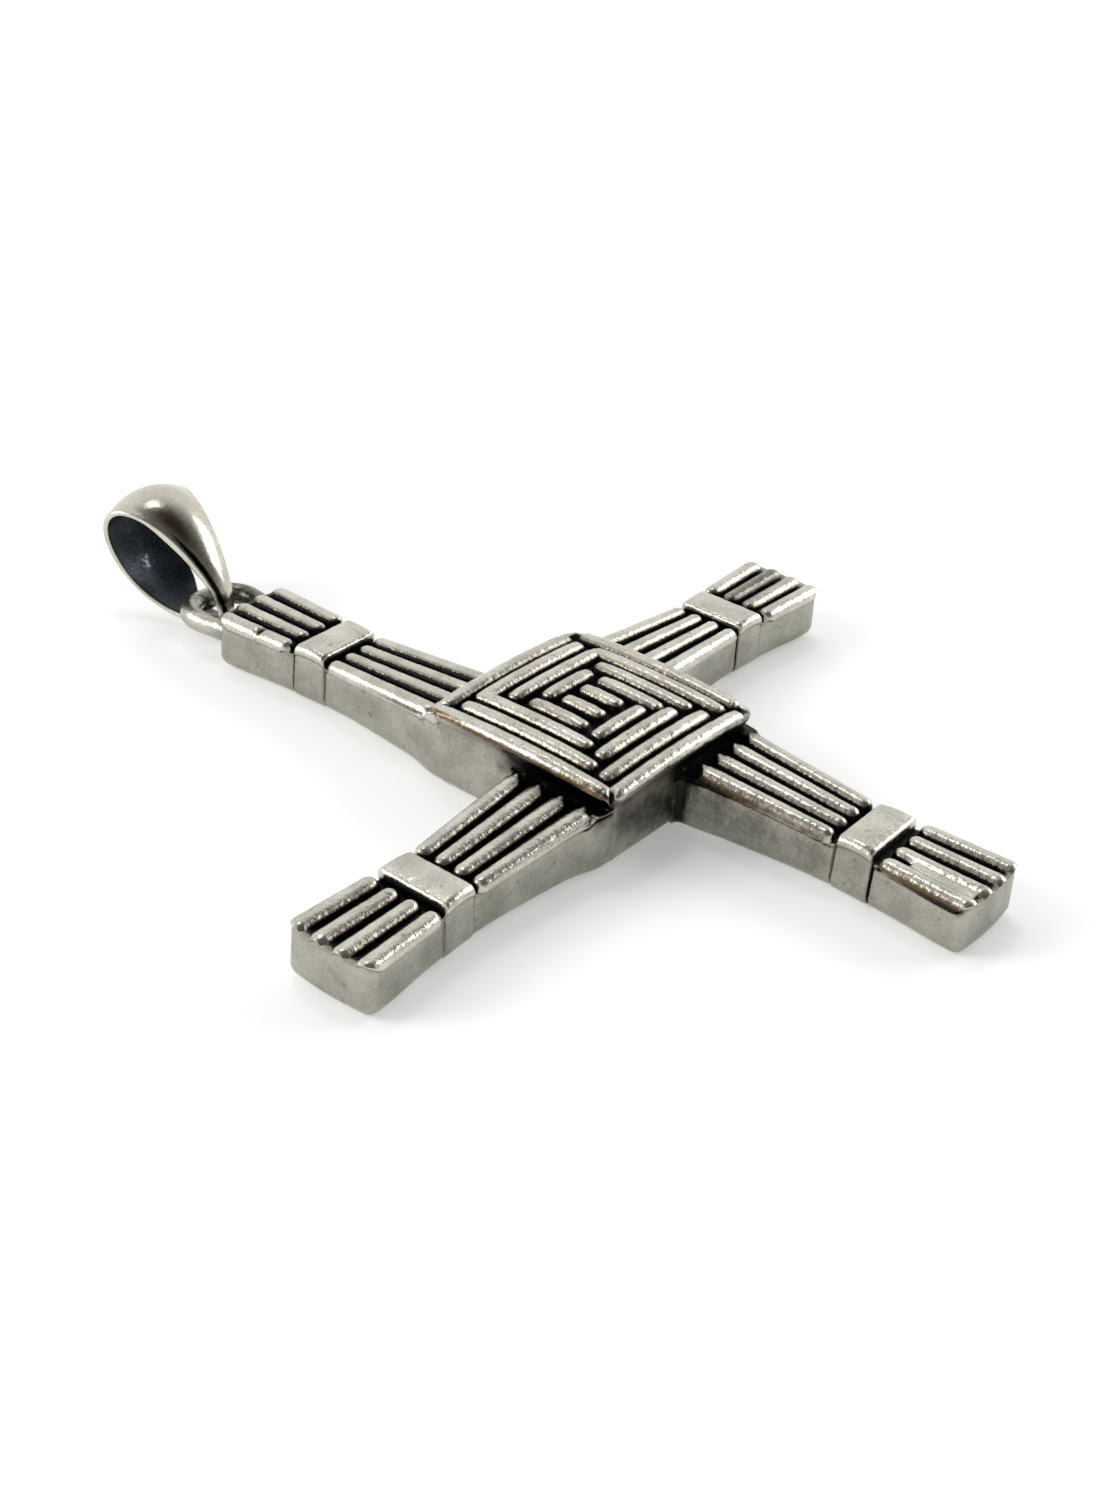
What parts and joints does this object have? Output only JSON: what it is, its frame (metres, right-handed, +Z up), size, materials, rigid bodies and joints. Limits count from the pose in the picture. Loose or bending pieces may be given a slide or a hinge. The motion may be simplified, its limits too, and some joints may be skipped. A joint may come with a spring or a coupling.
{
  "type": "cross pendant",
  "caption": "Cast cross pendant of the woven rush kind: ridged arms set pinwheel-wise round a raised woven square, with a wire ring and a swinging teardrop bail.",
  "frame": {"origin": "middle of the woven square, on the flat back that the pendant lies on", "axes": "+Z up from the back to the woven face, +Y along the arm with the ring and the bail, +X to the right seen from above"},
  "size_m": [0.0334, 0.041, 0.0053],
  "materials": {
    "cast_silver": "oxidised in the recesses, satin on the ridges",
    "polished_silver": "softly polished outside, dark inside"
  },
  "bodies": {
    "cross": {"cross": "cast_silver"},
    "bail": {"bail": "polished_silver"}
  },
  "joints": [
    {"name": "bail_swing", "type": "hinge", "parent": "cross", "child": "bail", "pos_m": [-0.00216, 0.01945, 0.00125], "axis": [1, 0, 0], "range_deg": [-135, 80]}
  ]
}
